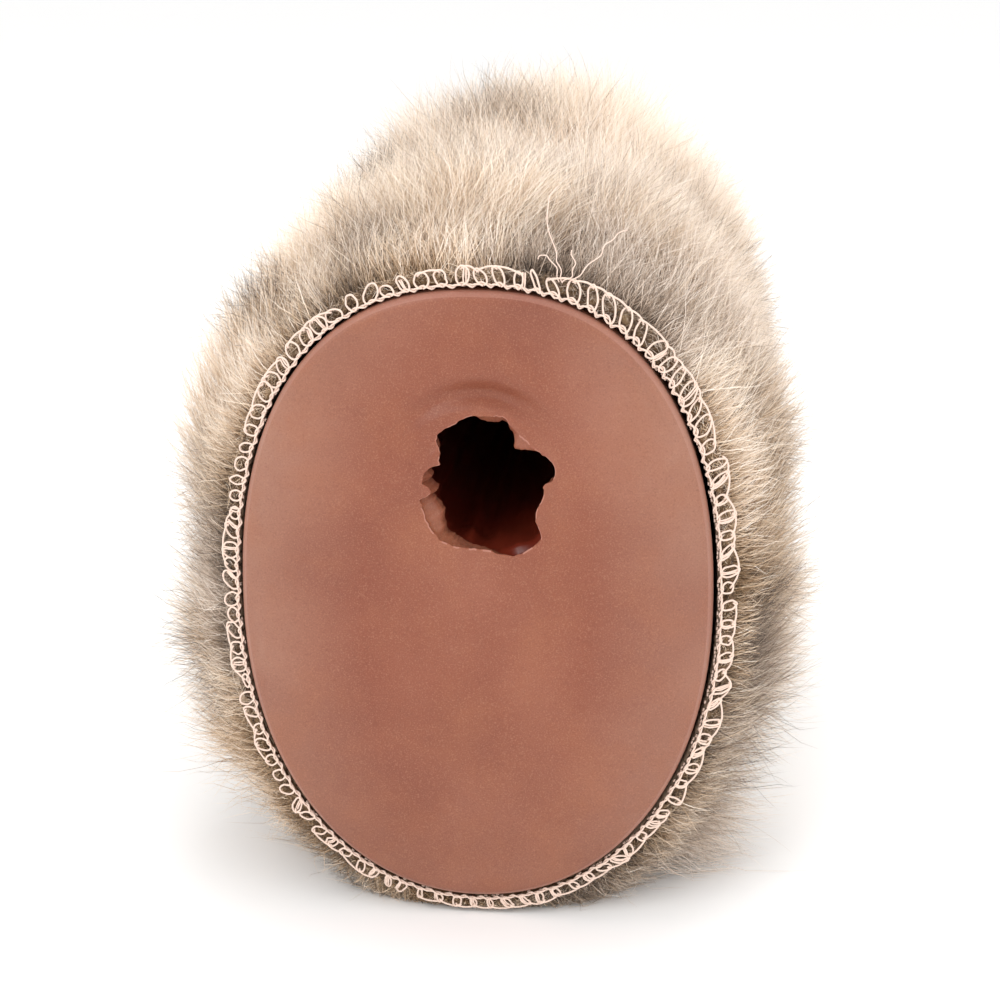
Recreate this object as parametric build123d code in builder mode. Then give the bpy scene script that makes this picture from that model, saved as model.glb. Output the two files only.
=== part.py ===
"""A fur-covered wash mitt: a moulded rubber core with a ragged pocket mouth, in a faux-fur sleeve.

Millimetres. +Z is up, the front face looks along -Y, and the mitt lies on its underside at Z = 0.
The origin is under the middle of the mitt, on the surface that it lies on.
"""

import math
import os

from build123d import *

# Driving dimensions of the core
FACE_WIDTH = 110.0
FACE_HEIGHT = 149.0
CORE_FRONT = -130.0
DOME_START = 73.0
DOME_LENGTH = 29.1
REAR_WIDTH_SCALE = 0.9
REAR_HEIGHT_SCALE = 0.985
FACE_LIP_RADIUS = 2.5
TOP_SQUARENESS = 2.36
BOTTOM_SQUARENESS = 2.1
CORE_UNDERSIDE = 5.2

# Pocket in the core
MOUTH_X, MOUTH_Z = 3.0, 109.3
SKIN_THICKNESS = 6.0
POCKET_RADIUS = 18.0
POCKET_END_RADIUS = 14.0
POCKET_DEPTH = 160.0
DISH_RADIUS = 24.0
DISH_DEPTH = 1.2

# Ragged mouth, as (angle from +X in degrees, radius), anticlockwise as seen from the front
MOUTH_EDGE = [
    (3, 13.2), (9, 15.2), (17, 15.9), (26, 15.4), (36, 14.2), (46, 13.9), (58, 14.2), (68, 14.9),
    (77, 16.4), (88, 16.4), (98, 16.5), (108, 16.6), (118, 16.3), (128, 16.3), (137, 15.8), (144, 13.3),
    (154, 12.3), (163, 13.8), (173, 14.9), (181, 13.3), (187, 13.4), (193, 15.4), (203, 16.0), (216, 16.4),
    (229, 16.7), (242, 15.9), (257, 15.1), (271, 15.2), (284, 17.1), (297, 17.5), (311, 17.5), (319, 15.4),
    (331, 12.6), (343, 12.7), (355, 12.7),
]

# Sleeve: knitted backing and standing pile
SLEEVE_GAP = 0.9
BACKING = 1.0
RIM_SETBACK = 2.6
BARE_EDGE = 5.0
END_SEAM_Y = 71.0
SEAM_ANGLE = 74.0
# How far the pile stands off the backing, as (distance behind the rim, height)
PILE_PROFILE = [(BARE_EDGE, 2.3), (9.0, 10.0), (17.0, 18.5), (34.0, 25.0), (90.0, 22.5), (150.0, 26.0)]
PILE_END_HEIGHT = 25.0

# Sewing threads
THREAD = 0.5
THREAD_CLEARANCE = 0.03
RIM_BITE = 4.55
# Loose thread ends, as (angle round the rim, length, sideways lean)
TAILS = [(77.0, 23.0, -7.0), (74.5, 26.0, 3.0), (71.5, 21.0, 8.0)]

LIP_STEPS = (90, 70, 50, 30, 0)
DOME_POWER = 2.2
DOME_STEPS = (0.0, 0.3, 0.52, 0.7, 0.83, 0.92, 0.975)
OVAL_POINTS = 24

rim_y = CORE_FRONT + RIM_SETBACK
backing_inside = SLEEVE_GAP
backing_outside = SLEEVE_GAP + BACKING


def core_section(y):
    """Half width, half height and middle height of the core at y, ahead of its rear dome."""
    share = (y - CORE_FRONT) / (DOME_START - CORE_FRONT)
    half_width = FACE_WIDTH / 2 * (1 - (1 - REAR_WIDTH_SCALE) * share)
    half_height = FACE_HEIGHT / 2 * (1 - (1 - REAR_HEIGHT_SCALE) * share)
    return half_width, half_height, CORE_UNDERSIDE + half_height


def oval_point(half_width, half_height, middle, degrees):
    """A point on the egg-like section, which is squarer above and rounder below."""
    c, s = math.cos(math.radians(degrees)), math.sin(math.radians(degrees))
    power = 2 / (TOP_SQUARENESS if s >= 0 else BOTTOM_SQUARENESS)
    x = half_width * math.copysign(abs(c) ** power, c)
    z = half_height * math.copysign(abs(s) ** power, s)
    return x, middle + z


def oval(y, half_width, half_height, middle):
    """A closed oval face across the mitt at y."""
    step = 360 / OVAL_POINTS
    points = [oval_point(half_width, half_height, middle, step * i) for i in range(OVAL_POINTS)]
    with BuildSketch(Plane.XZ.offset(-y)) as sketch:
        with BuildLine():
            Spline(*points, periodic=True)
        make_face()
    return sketch.sketch


def straight_ovals(stations):
    """Ovals at each (y, growth beyond the core) ahead of the dome."""
    ovals = []
    for y, grow in stations:
        half_width, half_height, middle = core_section(y)
        ovals.append(oval(y, half_width + grow, half_height + grow, middle))
    return ovals


def dome_ovals(grow):
    """Ovals down the rear dome of a body that is larger than the core by grow."""
    half_width, half_height, middle = core_section(DOME_START)
    ovals = []
    for share in DOME_STEPS:
        narrow = (1 - share**DOME_POWER) ** (1 / DOME_POWER)
        y = DOME_START + share * (DOME_LENGTH + grow)
        ovals.append(oval(y, (half_width + grow) * narrow, (half_height + grow) * narrow, middle))
    tip = 0.12
    ovals.append(oval(DOME_START + DOME_LENGTH + grow, half_width * tip, half_height * tip, middle))
    return ovals


def loft_through(ovals):
    """The solid through a run of ovals."""
    with BuildPart() as body:
        for section in ovals:
            add(section)
        loft(ruled=True)
    return body.part


def shell(start, end, inside, outside):
    """A tube round the core from start to end, between two growths."""
    with BuildPart() as tube:
        add(loft_through(straight_ovals([(start, outside), (end, outside)])))
        add(loft_through(straight_ovals([(start - 1, inside), (end + 1, inside)])), mode=Mode.SUBTRACT)
    return tube.part


def seam_point(y, grow, angle=SEAM_ANGLE):
    """A point at y near the side seam, at a growth beyond the core."""
    half_width, half_height, middle = core_section(y)
    x, z = oval_point(half_width + grow, half_height + grow, middle, angle)
    return Vector(x, y, z)


def seam_rod(grow, diameter, start, end):
    """A straight rod along the side seam."""
    first, last = seam_point(start, grow), seam_point(end, grow)
    with BuildPart() as rod:
        with BuildSketch(Plane(origin=first, z_dir=last - first)):
            Circle(diameter / 2)
        extrude(amount=(last - first).length)
    return rod.part


def mouth_point(angle, radius):
    """A point of the ragged mouth, in the plane of the face."""
    turn = math.radians(angle)
    return MOUTH_X + radius * math.cos(turn), MOUTH_Z + radius * math.sin(turn)


def build_core():
    """Moulded rubber core: rounded lip, shallow dish, ragged mouth and a blind pocket behind it."""
    lip = []
    for degrees in LIP_STEPS:
        turn = math.radians(degrees)
        y = CORE_FRONT + FACE_LIP_RADIUS * (1 - math.sin(turn))
        lip.append((y, -FACE_LIP_RADIUS * (1 - math.cos(turn))))
    skin_back = CORE_FRONT + SKIN_THICKNESS
    pocket_end = CORE_FRONT + POCKET_DEPTH
    dish_ball = (DISH_RADIUS**2 + DISH_DEPTH**2) / (2 * DISH_DEPTH)
    with BuildPart() as core:
        add(loft_through(straight_ovals(lip) + dome_ovals(0.0)))
        with Locations((MOUTH_X, CORE_FRONT + DISH_DEPTH - dish_ball, MOUTH_Z)):
            Sphere(dish_ball, mode=Mode.SUBTRACT)
        with BuildSketch(Plane.XZ.offset(-skin_back - 1)):
            with BuildLine():
                Spline(*[mouth_point(angle, radius) for angle, radius in MOUTH_EDGE], periodic=True)
            make_face()
        extrude(amount=SKIN_THICKNESS + 3, mode=Mode.SUBTRACT)
        with BuildSketch(Plane.XY.offset(MOUTH_Z)):
            with BuildLine():
                Polyline(
                    (MOUTH_X, pocket_end),
                    (MOUTH_X, skin_back),
                    (MOUTH_X + POCKET_RADIUS, skin_back),
                    (MOUTH_X + POCKET_END_RADIUS, pocket_end - POCKET_END_RADIUS),
                )
                TangentArc(
                    (MOUTH_X + POCKET_END_RADIUS, pocket_end - POCKET_END_RADIUS),
                    (MOUTH_X, pocket_end),
                    tangent=(0, 1),
                )
            make_face()
        revolve(axis=Axis((MOUTH_X, 0, MOUTH_Z), (0, 1, 0)), mode=Mode.SUBTRACT)
    return core.part


def build_side_backing():
    """Knitted backing of the side panel, open at the rim."""
    return shell(rim_y, END_SEAM_Y, backing_inside, backing_outside)


def build_end_backing():
    """Knitted backing of the domed end panel, butted to the side panel."""
    with BuildPart() as backing:
        start = END_SEAM_Y
        add(loft_through(straight_ovals([(start, backing_outside)]) + dome_ovals(backing_outside)))
        inner = straight_ovals([(start - 1, backing_inside)]) + dome_ovals(backing_inside)
        add(loft_through(inner), mode=Mode.SUBTRACT)
    return backing.part


def build_side_pile():
    """Standing pile of the side panel, pressed flat underneath where the mitt lies on it."""
    stations = [(rim_y + back, backing_outside + height) for back, height in PILE_PROFILE]
    stations.append((END_SEAM_Y, backing_outside + PILE_END_HEIGHT))
    with BuildPart() as pile:
        add(loft_through(straight_ovals(stations)))
        inner = [(rim_y, backing_outside), (END_SEAM_Y + 1, backing_outside)]
        add(loft_through(straight_ovals(inner)), mode=Mode.SUBTRACT)
        split(bisect_by=Plane.XY, keep=Keep.TOP)
        add(seam_rod(backing_outside + THREAD / 2, 1.6 * THREAD, rim_y, END_SEAM_Y + 1), mode=Mode.SUBTRACT)
        add(end_seam_groove(), mode=Mode.SUBTRACT)
    return pile.part


def build_end_pile():
    """Standing pile of the end panel."""
    grow = backing_outside + PILE_END_HEIGHT
    with BuildPart() as pile:
        add(loft_through(straight_ovals([(END_SEAM_Y, grow)]) + dome_ovals(grow)))
        inner = straight_ovals([(END_SEAM_Y - 1, backing_outside)]) + dome_ovals(backing_outside)
        add(loft_through(inner), mode=Mode.SUBTRACT)
        split(bisect_by=Plane.XY, keep=Keep.TOP)
        add(end_seam_groove(), mode=Mode.SUBTRACT)
    return pile.part


def end_seam_groove():
    """Room in the pile's roots for the end seam's outer thread."""
    outside = backing_outside + THREAD + 2 * THREAD_CLEARANCE
    return shell(END_SEAM_Y - THREAD, END_SEAM_Y + THREAD, backing_outside - THREAD, outside)


def build_rim_looper(band_inside, band_outside, edge_inside, edge_outside):
    """One of the two looper threads that wrap the sleeve's front edge, as a thin band with a lip."""
    front = rim_y - THREAD
    with BuildPart() as looper:
        add(shell(front, rim_y + RIM_BITE, band_inside, band_outside))
        add(shell(front, rim_y - THREAD_CLEARANCE, edge_inside, edge_outside))
    return looper.part


def build_tails():
    """Loose thread ends of the side seam, which stand up in front of the pile."""
    tails = []
    for angle, length, lean in TAILS:
        start = seam_point(rim_y + 1.2, backing_outside + 2 * THREAD, angle)
        middle = start + Vector(0.3 * lean, 0.2, 0.55 * length)
        end = start + Vector(lean, 1.5, 0.93 * length)
        with BuildPart() as tail:
            with BuildLine() as way:
                Spline(start, middle, end)
            with BuildSketch(Plane(origin=start, z_dir=way.line % 0)):
                Circle(THREAD / 2)
            sweep()
        tails.append(tail.part)
    return Compound(children=tails)


def keep(part, label):
    """Names a finished piece and writes it."""
    part.label = label
    export_step(part, f"parts/{label}.step")


if __name__ == "__main__":
    os.makedirs("parts", exist_ok=True)
    keep(build_core(), "core_body")
    keep(build_side_backing(), "side_panel_backing")
    keep(build_end_backing(), "end_panel_backing")
    keep(build_side_pile(), "side_panel_pile")
    keep(build_end_pile(), "end_panel_pile")

    inner_thread = (backing_inside - THREAD, backing_inside - THREAD_CLEARANCE)
    outer_thread = (backing_outside + THREAD_CLEARANCE, backing_outside + THREAD)
    edge_split = backing_inside + BACKING / 2
    upper = build_rim_looper(*outer_thread, edge_split + THREAD_CLEARANCE, outer_thread[1])
    keep(upper, "rim_upper_looper_thread")
    lower = build_rim_looper(*inner_thread, inner_thread[0], edge_split - THREAD_CLEARANCE)
    keep(lower, "rim_lower_looper_thread")
    needle_start = rim_y + RIM_BITE + THREAD_CLEARANCE
    needle = shell(needle_start, rim_y + BARE_EDGE - THREAD_CLEARANCE, *outer_thread)
    keep(needle, "rim_needle_thread")

    seam_start = rim_y + BARE_EDGE + THREAD
    seam_end = END_SEAM_Y - 2 * THREAD
    outer_middle = backing_outside + THREAD_CLEARANCE + THREAD / 2
    keep(seam_rod(outer_middle, THREAD, seam_start, seam_end), "side_seam_needle_thread")
    inner_middle = backing_inside - THREAD_CLEARANCE - THREAD / 2
    keep(seam_rod(inner_middle, THREAD, seam_start, seam_end), "side_seam_looper_thread")
    seam_width = (END_SEAM_Y - THREAD / 2, END_SEAM_Y + THREAD / 2)
    keep(shell(*seam_width, *outer_thread), "end_seam_needle_thread")
    keep(shell(*seam_width, *inner_thread), "end_seam_looper_thread")
    keep(build_tails(), "side_seam_thread_tails")
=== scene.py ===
"""A fur-covered wash mitt lying on a pale floor, with +Z up.

Sizes and places here are in millimetres. mesh_from turns them into the scene's metres.
"""

import math
from types import SimpleNamespace

import bpy
import numpy as np
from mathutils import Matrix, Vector


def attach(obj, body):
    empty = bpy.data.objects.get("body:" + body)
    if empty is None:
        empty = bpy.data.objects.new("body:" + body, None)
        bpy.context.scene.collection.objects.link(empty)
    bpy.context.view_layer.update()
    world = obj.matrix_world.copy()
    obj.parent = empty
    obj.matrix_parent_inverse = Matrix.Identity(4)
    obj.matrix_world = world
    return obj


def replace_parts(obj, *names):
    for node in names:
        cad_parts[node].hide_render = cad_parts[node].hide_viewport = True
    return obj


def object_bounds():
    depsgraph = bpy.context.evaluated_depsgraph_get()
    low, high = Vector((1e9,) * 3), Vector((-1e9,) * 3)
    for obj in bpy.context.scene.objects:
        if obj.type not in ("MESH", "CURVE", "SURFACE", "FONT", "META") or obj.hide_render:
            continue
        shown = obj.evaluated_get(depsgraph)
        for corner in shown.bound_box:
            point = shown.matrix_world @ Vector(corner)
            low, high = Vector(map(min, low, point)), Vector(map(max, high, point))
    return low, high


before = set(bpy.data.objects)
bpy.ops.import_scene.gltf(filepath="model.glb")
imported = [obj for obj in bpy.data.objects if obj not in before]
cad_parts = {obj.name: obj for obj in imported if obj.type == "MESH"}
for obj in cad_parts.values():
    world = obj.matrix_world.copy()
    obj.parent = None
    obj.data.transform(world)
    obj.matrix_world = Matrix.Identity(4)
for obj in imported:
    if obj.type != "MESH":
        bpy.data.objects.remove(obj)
start_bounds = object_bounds()

MM = 0.001  # metres in a millimetre

# The same driving sizes as the CAD, with y along the mitt from its face to its rear
FACE_WIDTH, FACE_HEIGHT = 110.0, 149.0
CORE_FRONT, DOME_START, DOME_LENGTH = -130.0, 73.0, 29.1
REAR_WIDTH_SCALE, REAR_HEIGHT_SCALE = 0.9, 0.985
TOP_SQUARENESS, BOTTOM_SQUARENESS, DOME_POWER = 2.36, 2.1, 2.2
CORE_UNDERSIDE = 5.2
LIP = 2.5
MOUTH_X, MOUTH_Z = 3.0, 109.3
SKIN, POCKET_RADIUS, POCKET_END_RADIUS, POCKET_DEPTH = 6.0, 18.0, 14.0, 160.0
GAP, BACKING = 0.9, 1.0
RIM_Y = CORE_FRONT + 2.6
END_SEAM_Y = 71.0
SEAM_ANGLE = 74.0
OUTSIDE = GAP + BACKING

# The space that the visual pieces keep inside
CAD_BOX = np.array([list(corner) for corner in start_bounds]) / MM
MARGIN = 0.03 * (CAD_BOX[1] - CAD_BOX[0]) + 9.0

# Torn outline of the mouth, as points round its centre (right, up)
MOUTH_EDGE = [
    (15.2, 3.0), (15.1, 5.1), (14.0, 6.4), (12.4, 7.7), (10.1, 9.6), (7.6, 11.9), (5.6, 13.7),
    (4.9, 14.7), (4.6, 15.6), (3.4, 16.4), (0.8, 16.4), (-1.7, 16.4), (-4.5, 16.3), (-5.9, 15.4),
    (-7.2, 14.6), (-9.4, 13.4), (-11.2, 12.1), (-11.8, 10.7), (-11.0, 9.1), (-10.6, 7.7), (-11.0, 5.2),
    (-12.9, 4.4), (-14.2, 3.4), (-14.9, 2.0), (-14.8, 0.7), (-13.3, 0.0), (-13.0, -1.3), (-13.6, -2.3),
    (-15.4, -3.1), (-15.1, -4.6), (-14.4, -7.3), (-13.1, -10.0), (-11.3, -12.3), (-9.4, -13.5),
    (-6.2, -14.5), (-3.0, -14.7), (0.2, -15.2), (2.4, -16.0), (5.0, -16.5), (7.2, -16.2), (9.3, -15.0),
    (11.4, -13.5), (12.2, -12.0), (11.7, -10.3), (10.9, -8.3), (10.9, -6.0), (11.7, -4.3),
    (12.7, -2.0), (12.6, -0.3), (13.0, 0.7), (14.6, 1.5),
]


def noise_of(seed, wavelength, dims=3, waves=22):
    """A smooth random function of points in mm, about -1 to 1, with features of about that wavelength."""
    rng = np.random.default_rng(seed)
    k = rng.normal(size=(waves, dims))
    length = np.linalg.norm(k, axis=1, keepdims=True)
    k *= (2 * np.pi / wavelength * rng.uniform(0.6, 1.5, (waves, 1))) / length
    phase = rng.uniform(0, 2 * np.pi, waves)

    def value(points):
        return np.sin(points @ k.T + phase).sum(-1) * (1.4 / math.sqrt(waves))

    return value


def smooth(x, low, high):
    """0 below low, 1 above high, and an easy step between."""
    t = np.clip((x - low) / (high - low), 0, 1)
    return t * t * (3 - 2 * t)


def bump(angles, centre, width):
    """A smooth bell of angles in radians, its centre and half-width in degrees."""
    away = (np.degrees(angles) - centre + 180) % 360 - 180
    return np.exp(-((away / width) ** 2))


def section(y):
    """Half-width, half-height and middle height of the core's oval at y."""
    share = (y - CORE_FRONT) / (DOME_START - CORE_FRONT)
    half_width = FACE_WIDTH / 2 * (1 - (1 - REAR_WIDTH_SCALE) * share)
    half_height = FACE_HEIGHT / 2 * (1 - (1 - REAR_HEIGHT_SCALE) * share)
    return half_width, half_height, CORE_UNDERSIDE + half_height


def hull_point(v, phi, grow):
    """Points of the mitt's surface: v 0..1 from the rim to the dome, 1..2 over the dome, phi round it."""
    v, phi, grow = np.broadcast_arrays(*(np.asarray(value, float) for value in (v, phi, grow)))
    straight = np.minimum(v, 1.0)
    y = RIM_Y + straight * (DOME_START - RIM_Y)
    half_width, half_height, middle = section(y)
    share = np.sin(np.clip(v - 1, 0, 1) * np.pi / 2)
    narrow = np.maximum(1 - share**DOME_POWER, 0) ** (1 / DOME_POWER)
    y = y + share * (DOME_LENGTH + grow)
    c, s = np.cos(phi), np.sin(phi)
    power = np.where(s >= 0, 2 / TOP_SQUARENESS, 2 / BOTTOM_SQUARENESS)
    x = (half_width + grow) * narrow * np.sign(c) * np.abs(c) ** power
    z = (half_height + grow) * narrow * np.sign(s) * np.abs(s) ** power
    return np.stack([x, y, middle + z], -1)


def unit(vectors):
    """The same directions at length 1."""
    return vectors / np.maximum(np.linalg.norm(vectors, axis=-1, keepdims=True), 1e-9)


def hull_frame(v, phi, grow):
    """Outward normal and rearward tangent of that surface."""
    dv, dp = 0.004, 0.01
    along = hull_point(v + dv, phi, grow) - hull_point(np.maximum(v - dv, 0), phi, grow)
    around = hull_point(v, phi + dp, grow) - hull_point(v, phi - dp, grow)
    normal = unit(np.cross(along, around))
    return normal, unit(along)


def mesh_from(name, points, quads, tris=None, slots=None, materials=()):
    """A smooth-shaded mesh object from mm points and index arrays."""
    tris = np.zeros((0, 3), np.int64) if tris is None else np.asarray(tris)
    mesh = bpy.data.meshes.new(name)
    mesh.vertices.add(len(points))
    mesh.vertices.foreach_set("co", (np.asarray(points, np.float64) * MM).astype(np.float32).ravel())
    loops = np.concatenate([quads.ravel(), tris.ravel()]).astype(np.int32)
    starts = np.concatenate([np.arange(len(quads)) * 4, len(quads) * 4 + np.arange(len(tris)) * 3])
    mesh.loops.add(len(loops))
    mesh.loops.foreach_set("vertex_index", loops)
    mesh.polygons.add(len(starts))
    mesh.polygons.foreach_set("loop_start", starts.astype(np.int32))
    if slots is not None:
        mesh.polygons.foreach_set("material_index", np.asarray(slots, np.int32))
    mesh.polygons.foreach_set("use_smooth", np.full(len(starts), True))
    for material in materials:
        mesh.materials.append(material)
    mesh.update(calc_edges=True)
    obj = bpy.data.objects.new(name, mesh)
    bpy.context.scene.collection.objects.link(obj)
    return obj


def grid_quads(rows, columns, offset=0):
    """Quads of a grid of points stored row by row, where each row is a closed ring."""
    r = np.arange(rows - 1)[:, None]
    c = np.arange(columns)[None, :]
    n = (c + 1) % columns
    here, above = r * columns, (r + 1) * columns
    return np.stack([here + c, here + n, above + n, above + c], -1).reshape(-1, 4) + offset


def ribbons(rng, lines, widths):
    """Flat fibres along many centrelines at once, each turned its own way and ending in a point."""
    count, n = lines.shape[:2]
    tangent = unit(np.gradient(lines, axis=1))
    across = unit(np.cross(tangent, unit(rng.normal(size=(count, 1, 3)))))[:, :-1] * widths[:, :-1, None]
    per = 2 * (n - 1) + 1
    points = np.empty((count, per, 3))
    points[:, 0:-1:2] = lines[:, :-1] - across
    points[:, 1:-1:2] = lines[:, :-1] + across
    points[:, -1] = lines[:, -1]
    j = 2 * np.arange(n - 2)
    first = (np.arange(count) * per)[:, None, None]
    quads = np.stack([j, j + 1, j + 3, j + 2], -1)[None] + first
    tips = np.array([[per - 3, per - 2, per - 1]])[None] + first
    return points.reshape(-1, 3), quads.reshape(-1, 4), tips.reshape(-1, 3)


def linear(red, green, blue):
    """Scene-linear colour from 0-255 screen values."""
    out = []
    for value in (red, green, blue):
        c = value / 255
        out.append(c / 12.92 if c <= 0.04045 else ((c + 0.055) / 1.055) ** 2.4)
    return (*out, 1.0)


def plain(name, colour, roughness, **inputs):
    """A material with fixed values; inputs are the shader's sockets, with _ for a space."""
    material = bpy.data.materials.new(name)
    material.use_nodes = True
    shader = material.node_tree.nodes["Principled BSDF"]
    shader.inputs["Base Color"].default_value = colour
    shader.inputs["Roughness"].default_value = roughness
    for key, value in inputs.items():
        shader.inputs[key.replace("_", " ")].default_value = value
    return material


# ---------------------------------------------------------------- core

CORE_SPOKES = 400
POCKET_SHADE_ROWS = 37  # rows of quads that have the pocket's dark colour, painted shade of the deep recess
FACE_ROWS = 71
LIP_TURNS = (75, 60, 45, 30, 15, 0)
MOUTH_RADIUS = 15
CLOUD_STOPS = (0.32, 0.52, 0.70)
COLUMN_STRETCH = 0.55  # how much less the face's redder, darker middle (partly its own tone, partly painted shade) fades upward and downward than sideways


def mouth_outline(angles):
    """Radius of the torn mouth at each angle, with fine raggedness."""
    edge = np.array(MOUTH_EDGE)
    at, radius = np.arctan2(edge[:, 1], edge[:, 0]), np.hypot(edge[:, 0], edge[:, 1])
    order = np.argsort(at)
    base = np.interp(angles, at[order], radius[order], period=2 * np.pi)
    around = np.stack([np.cos(angles), np.sin(angles)], -1) * MOUTH_RADIUS
    return base + 0.08 * noise_of(3, 3.2, 2)(around) + 0.05 * noise_of(4, 1.3, 2)(around)


def face_relief(x, z):
    """How far the face lies behind its flat plane, in mm, at a place on it."""
    dx, dz = x - MOUTH_X, z - MOUTH_Z
    r = np.hypot(dx, dz)
    flat = np.stack([x, z], -1)
    relief = 0.55 * noise_of(11, 62, 2)(flat) + 0.16 * noise_of(12, 24, 2)(flat)
    # Soft furrow that arches over the mouth, with a swell below it
    arch, above = np.hypot(dx + 2.6, dz), np.arctan2(dz, dx + 2.6)
    top = bump(above, 84, 44)
    relief += 2.9 * top * np.exp(-(((arch - 21.4) / 2.8) ** 2))
    relief -= 0.5 * top * np.exp(-(((arch - 18.0) / 2.0) ** 2))
    relief += 0.9 * np.exp(-((r / 30) ** 2))
    relief -= 0.5 * (0.5 + 0.5 * noise_of(13, 9, 2)(flat)) * np.exp(-np.maximum(r - 14.5, 0) / 1.5)
    relief += 0.7 * np.exp(-(((x - 5) / 4.5) ** 2)) * smooth(z, 124, 136) * (1 - smooth(z, 143, 153))
    relief += 0.8 * np.exp(-(((x + 2) / 20) ** 2) - ((z - 40) / 26) ** 2)
    return relief


def oval_reach(angles):
    """Where rays from the mouth's centre at these angles meet the front oval, as the oval's own angle."""
    fine = np.linspace(-np.pi, np.pi, 4001)
    rim = hull_point(0.0, fine, 0.0)
    seen = np.unwrap(np.arctan2(rim[:, 2] - MOUTH_Z, rim[:, 0] - MOUTH_X))
    return np.interp(np.where(angles < seen[0], angles + 2 * np.pi, angles), seen, fine)


def pocket_rings(ray):
    """Rings of the pocket as (radius, depth), from its blind end to the back of the skin."""
    rings = []
    for turn in np.linspace(0.08, 1.0, 9) * np.pi / 2:
        depth = POCKET_DEPTH - POCKET_END_RADIUS * (1 - math.cos(turn))
        rings.append((POCKET_END_RADIUS * math.sin(turn) * np.ones(len(ray)), depth))
    folds, ripples = noise_of(21, 8.5, 2)(ray * POCKET_RADIUS), noise_of(22, 14, 3)
    straight_end = POCKET_DEPTH - POCKET_END_RADIUS
    for depth in [*np.linspace(straight_end - 5, 30, 18), 26, 22, 19, 16, 13.5, 11.5, 10, 9]:
        share = (depth - SKIN) / (straight_end - SKIN)
        radius = POCKET_RADIUS + (POCKET_END_RADIUS - POCKET_RADIUS) * share
        place = np.column_stack([ray * POCKET_RADIUS, np.full(len(ray), depth)])
        wave = 0.9 * folds + 0.35 * ripples(place)
        rings.append((radius + wave * min(1, (POCKET_DEPTH - depth) / 40), depth))
    return rings


def torn_inset(angles):
    """How far the skin's torn wall leans in behind the mouth's edge, in mm; below 0 it is undercut."""
    inset = 4.9 * bump(angles, 211, 22) + 1.0 * bump(angles, 243, 14) - 1.1
    inset += 2.6 * bump(angles, 172, 7) + 1.0 * bump(angles, 190, 8)
    inset += 3.3 * bump(angles, 86, 20) - 1.3 * bump(angles, 292, 26)
    return inset


def skin_rings(angles, ray, mouth, back):
    """Rings of the skin's torn wall, with a crescent at the lower left and a thin flap at the upper right."""
    place = ray * MOUTH_RADIUS
    flap = 3.3 * bump(angles, 53, 12) * (1 + 0.12 * noise_of(25, 3.0, 2)(place))
    inner = mouth - torn_inset(angles) + 0.10 * noise_of(23, 3.5, 2)(place)
    joining = ((8.2, 0.75), (7.3, 0.35), (6.6, 0.1))
    rings = [(inner + (back - inner) * share, depth) for depth, share in joining]
    grain = noise_of(24, 2.6, 3)
    for depth in (6.0, 5.2, 4.3, 3.4, 2.6, 1.9, 1.3, 0.8, 0.45, 0.2, 0.05):
        share = smooth(depth, 0.2, 3.8)
        ridge = 0.08 * grain(np.column_stack([place, np.full(len(angles), depth * 1.6)]))
        near_skin = smooth(depth, 0.0, 1.2) * (1 - smooth(depth, 1.8, 3.4))
        radius = mouth + (inner - mouth) * share - flap * near_skin + ridge * smooth(depth, 0.0, 0.8)
        rings.append((radius, depth))
    return rings


def face_rows(ray, mouth, edge_x, edge_z, centre_z):
    """Rows of the face's points, from the mouth's edge to the start of the lip."""
    shrink = 1 - LIP / np.hypot(edge_x, edge_z - centre_z)
    inner_x, inner_z = edge_x * shrink, centre_z + (edge_z - centre_z) * shrink
    start_x, start_z = MOUTH_X + (mouth + 0.05) * ray[:, 0], MOUTH_Z + (mouth + 0.05) * ray[:, 1]
    rows = []
    for k in range(FACE_ROWS):
        w = (k / (FACE_ROWS - 1)) ** 1.7
        x, z = start_x + (inner_x - start_x) * w, start_z + (inner_z - start_z) * w
        fade = 1 - smooth(np.full_like(x, w), 0.93, 1.0)
        rows.append(np.stack([x, CORE_FRONT + face_relief(x, z) * fade, z], -1))
    return rows


def outer_rows(phi, edge_x, edge_z, centre_z):
    """Rows of the lip, the flank and the domed rear."""
    rows = []
    for degrees in LIP_TURNS:
        turn = math.radians(degrees)
        part = 1 - (LIP - LIP * math.cos(turn)) / np.hypot(edge_x, edge_z - centre_z)
        y = np.full_like(edge_x, CORE_FRONT + LIP * (1 - math.sin(turn)))
        rows.append(np.stack([edge_x * part, y, centre_z + (edge_z - centre_z) * part], -1))
    for v in [*np.linspace(0.004, 1, 44), *(1 + np.linspace(0.05, 0.985, 16))]:
        rows.append(hull_point(v, phi, 0.0))
    return rows


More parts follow.
